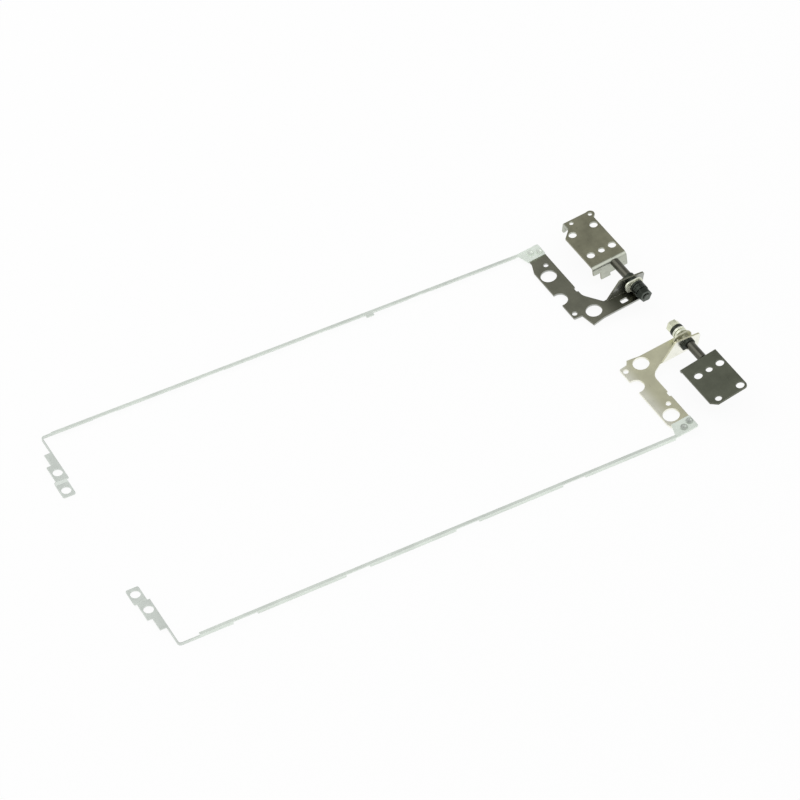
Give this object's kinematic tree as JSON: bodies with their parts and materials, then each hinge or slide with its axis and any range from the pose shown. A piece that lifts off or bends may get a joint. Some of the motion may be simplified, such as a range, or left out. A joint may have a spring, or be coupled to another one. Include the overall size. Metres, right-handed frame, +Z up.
{
  "type": "laptop hinge pair",
  "caption": "Matching right and left laptop lid hinges: long thin display rails with end tabs, folded lid brackets, friction stacks on shafts and screw-down base plates.",
  "frame": {"origin": "middle of the pair's outline, on the plane that the rails lie on", "axes": "+X along the rails from their end tabs towards the hinge axes, +Y from the left hinge to the right one along the axes, +Z up out of the display's plane"},
  "size_m": [0.2462, 0.1166, 0.0124],
  "materials": {
    "rail_steel": "bright plated spring steel, slightly greenish silver",
    "rivet_steel": "plated steel, flattened heads",
    "dark_nickel": "dark nickel plate, satin",
    "pale_nickel": "champagne-tinted nickel plate, satin",
    "bronze_nickel": "bronze-tinted nickel plate, satin",
    "shaft_steel": "dark turned steel",
    "black_steel": "blackened steel, oiled",
    "bright_nickel": "bright nickel plate"
  },
  "bodies": {
    "display_side": {"right_rail": "rail_steel", "right_rail_rivets": "rivet_steel", "right_lid_bracket": "dark_nickel", "right_friction_plate": "bright_nickel", "left_rail": "rail_steel", "left_rail_rivets": "rivet_steel", "left_lid_bracket": "pale_nickel", "left_friction_plate": "bright_nickel"},
    "right_leaf": {"right_base_plate": "bronze_nickel", "right_shaft": "shaft_steel", "right_stop_collar": "black_steel", "right_friction_washer": "black_steel", "right_spring_discs": "black_steel", "right_pressure_washer": "black_steel", "right_shaft_nut": "black_steel"},
    "left_leaf": {"left_base_plate": "dark_nickel", "left_shaft": "shaft_steel", "left_stop_collar": "black_steel", "left_friction_washer": "bright_nickel", "left_spring_discs": "bright_nickel", "left_pressure_washer": "black_steel", "left_shaft_nut": "bright_nickel"}
  },
  "joints": [
    {"name": "right_lid_turn", "type": "hinge", "parent": "display_side", "child": "right_leaf", "pos_m": [0.11619, 0.0168, 0.00917], "axis": [0, 1, 0], "range_deg": [-9, 179]},
    {"name": "left_lid_turn", "type": "hinge", "parent": "display_side", "child": "left_leaf", "pos_m": [0.11619, -0.0237, 0.00917], "axis": [0, 1, 0], "range_deg": [-3, 185]}
  ]
}
